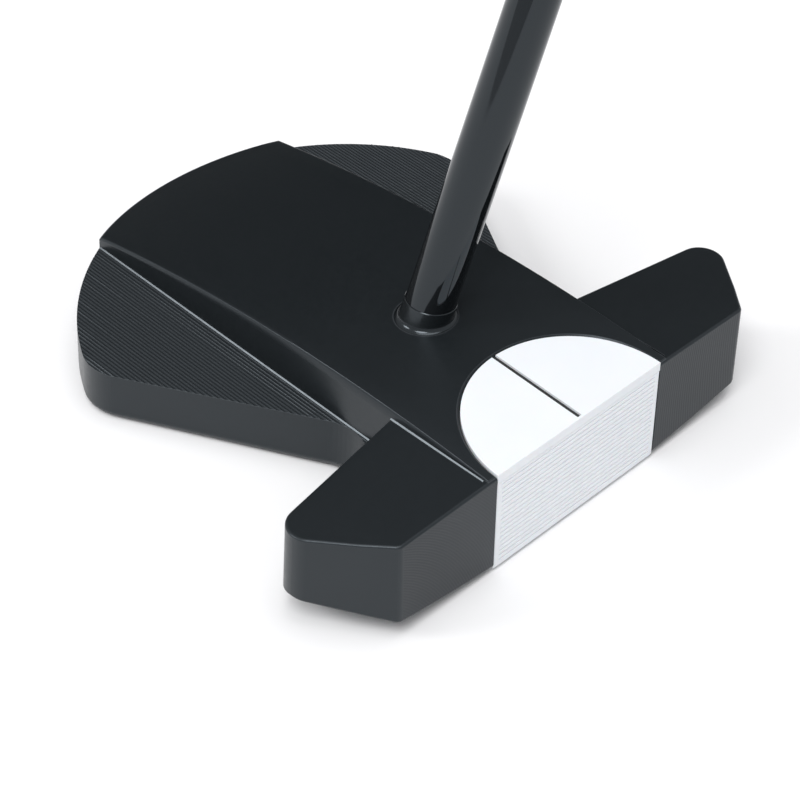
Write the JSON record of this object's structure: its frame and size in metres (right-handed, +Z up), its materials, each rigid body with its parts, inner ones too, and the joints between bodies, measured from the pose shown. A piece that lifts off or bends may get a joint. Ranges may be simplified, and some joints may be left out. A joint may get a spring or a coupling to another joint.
{
  "type": "mallet putter",
  "caption": "Right-handed mallet golf putter: black milled winged head with a grooved white face and half-round white top, leaning black shaft and a flat-fronted grip.",
  "frame": {"origin": "middle of the flat strip of the sole, on the ground, 50 mm behind the leading edge of the face", "axes": "+X towards the heel, where the shaft leans at a lie of 70 degrees; -X towards the toe; -Y is the target side, where the face looks; +Y is the rear of the head; +Z up, the club in its playing position"},
  "size_m": [0.3576, 0.1103, 0.8149],
  "materials": {
    "black_anodised": "satin black anodised, milled",
    "white_urethane": "satin white",
    "sight_line_black": "matt black paint fill",
    "pad_elastomer": "matt grey",
    "plate_steel": "dark brushed",
    "weight_steel": "turned, satin",
    "screw_steel": "black oxide",
    "seal_rubber": "matt black",
    "shaft_black": "gloss black over steel",
    "plug_cork": "raw cork",
    "tape_paper": "adhesive masking tape",
    "grip_rubber": "matt black, fine texture",
    "cap_plastic": "satin black"
  },
  "bodies": {
    "head": {"head_body": "black_anodised", "face_insert": "white_urethane", "insert_pad": "pad_elastomer", "alignment_dome": "white_urethane", "sight_line": "sight_line_black", "sole_plate": "plate_steel", "sole_gasket": "pad_elastomer", "sole_plate_screw_1": "screw_steel", "sole_plate_screw_2": "screw_steel", "sole_plate_screw_3": "screw_steel", "sole_plate_screw_4": "screw_steel", "shaft": "shaft_black", "shaft_tip_plug": "plug_cork", "grip_tape": "tape_paper", "grip": "grip_rubber", "grip_cap": "cap_plastic"},
    "toe_seal": {"toe_weight_seal": "seal_rubber"},
    "toe_weight": {"toe_weight": "weight_steel"},
    "heel_seal": {"heel_weight_seal": "seal_rubber"},
    "heel_weight": {"heel_weight": "weight_steel"}
  },
  "joints": [
    {"name": "toe_weight_travel", "type": "slide", "parent": "head", "child": "toe_seal", "axis": [0, 0, -1], "range_m": [0, 0.0066]},
    {"name": "toe_weight_turn", "type": "hinge", "parent": "toe_seal", "child": "toe_weight", "pos_m": [-0.036, -0.0375, 0.0036], "axis": [0, 0, -1], "range_deg": [0, 2340]},
    {"name": "heel_weight_travel", "type": "slide", "parent": "head", "child": "heel_seal", "axis": [0, 0, -1], "range_m": [0, 0.0066]},
    {"name": "heel_weight_turn", "type": "hinge", "parent": "heel_seal", "child": "heel_weight", "pos_m": [0.036, -0.0375, 0.0036], "axis": [0, 0, -1], "range_deg": [0, 2340]}
  ],
  "couplings": [
    {"joint": "toe_weight_travel", "follows": "toe_weight_turn", "m_per_rad": 0.00015915},
    {"joint": "heel_weight_travel", "follows": "heel_weight_turn", "m_per_rad": 0.00015915}
  ]
}
